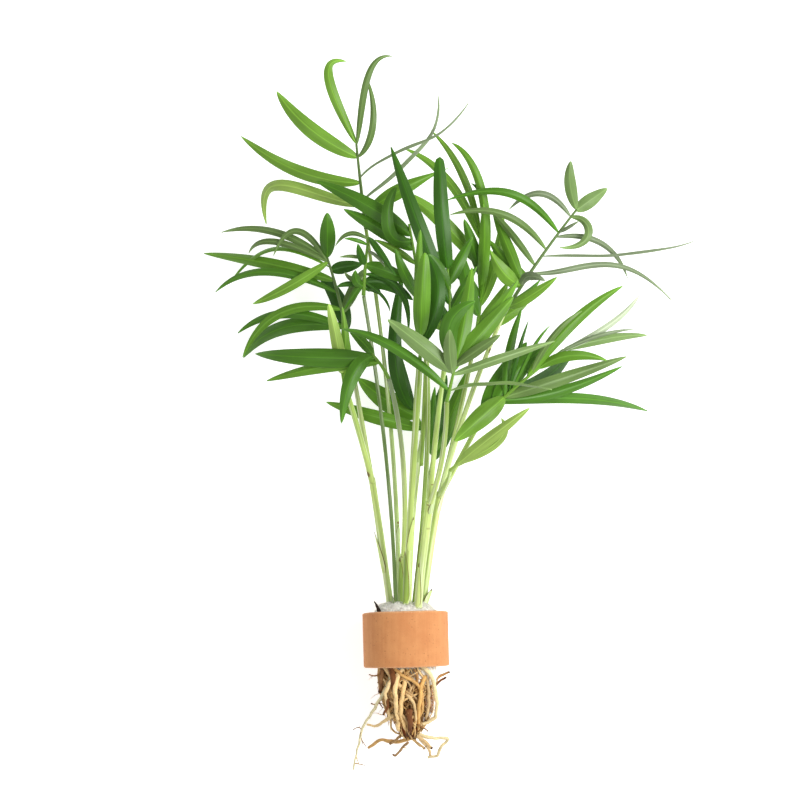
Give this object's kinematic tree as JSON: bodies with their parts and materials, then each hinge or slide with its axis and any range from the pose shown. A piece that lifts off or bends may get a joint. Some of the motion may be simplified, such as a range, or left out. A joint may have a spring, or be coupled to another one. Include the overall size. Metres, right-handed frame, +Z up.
{
  "type": "bare-rooted parlour palm clump in a clay ring",
  "caption": "Young bare-rooted parlour palm clump lying on its side, its stalks held by a wool plug in an open clay ring, with feathery fronds and loose roots.",
  "frame": {"origin": "centre of the base of the part's box, on the surface that it lies on", "axes": "+Z up from that surface, +Y along the plant from the roots to the crown, +X to the plant's right as seen from above"},
  "size_m": [0.2062, 0.2996, 0.0911],
  "materials": {
    "leaf": "satin",
    "stalk": "satin",
    "root": "matte",
    "wool": "matte",
    "clay": "matte"
  },
  "bodies": {
    "root": {"clay_ring": "clay", "wool_plug": "wool", "roots": "root", "old_sheath": "root", "stem_1": "stalk", "stem_2": "stalk", "stem_3": "stalk", "stem_4": "stalk", "stem_5": "stalk", "stem_6": "stalk", "stem_7": "stalk", "stem_8": "stalk", "stem_9": "stalk", "frond_top": "leaf", "frond_left": "leaf", "spear_left": "leaf", "frond_dark": "leaf", "frond_low": "leaf", "frond_back": "leaf", "spear_mid": "leaf", "frond_folded": "leaf", "frond_inner": "leaf", "frond_rear": "leaf", "frond_centre": "leaf", "frond_wide": "leaf", "frond_small": "leaf", "frond_right": "leaf", "frond_upper": "leaf"}
  },
  "joints": []
}
